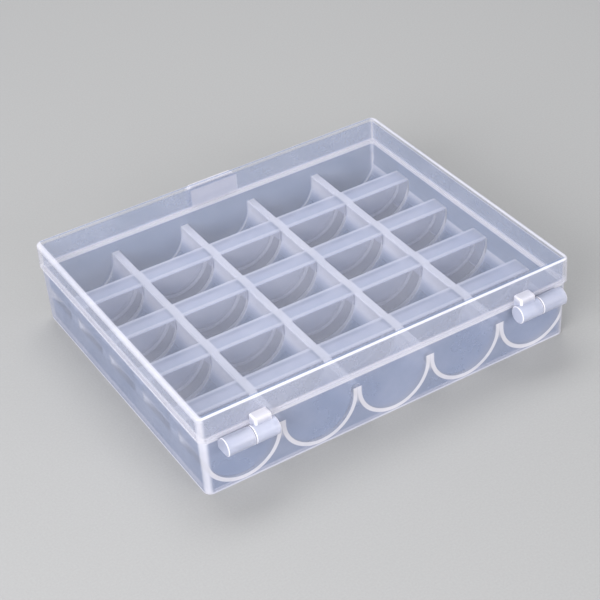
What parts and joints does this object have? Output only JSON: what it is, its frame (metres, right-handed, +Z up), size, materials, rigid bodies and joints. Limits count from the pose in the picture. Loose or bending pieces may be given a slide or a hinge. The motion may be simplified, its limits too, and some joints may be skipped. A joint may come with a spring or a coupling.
{
  "type": "bobbin storage box",
  "caption": "Flat translucent plastic sewing box with rows of half-round bobbin cells moulded into its base, a hinged lid and a snap clasp.",
  "frame": {"origin": "middle of the whole object's footprint, hinge barrels and clasp included, on the plane of the resting rim", "axes": "+X along the long sides, +Y from the hinge side to the clasp side, +Z up out of the cells"},
  "size_m": [0.122, 0.1084, 0.027],
  "materials": {
    "base_plastic": "translucent natural polypropylene, satin",
    "lid_plastic": "translucent natural polypropylene, smooth",
    "lid_thick_plastic": "natural polypropylene, thick and milky"
  },
  "bodies": {
    "base": {"base_tray": "base_plastic", "base_hinge_barrel_left": "base_plastic", "base_hinge_barrel_right": "base_plastic", "catch_bead": "base_plastic"},
    "lid": {"lid_shell": "lid_plastic", "lid_knuckle_left": "lid_thick_plastic", "lid_knuckle_right": "lid_thick_plastic", "hinge_pin_left": "lid_thick_plastic", "hinge_pin_right": "lid_thick_plastic"},
    "clasp": {"clasp_tab": "lid_thick_plastic"}
  },
  "joints": [
    {"name": "lid_hinge", "type": "hinge", "parent": "base", "child": "lid", "pos_m": [0, -0.05158, 0.0177], "axis": [1, 0, 0], "range_deg": [0, 180]},
    {"name": "clasp_flex", "type": "hinge", "parent": "lid", "child": "clasp", "pos_m": [0, 0.05214, 0.0254], "axis": [1, 0, 0], "range_deg": [0, 6], "stiffness_Nm_per_rad": 0.3}
  ]
}
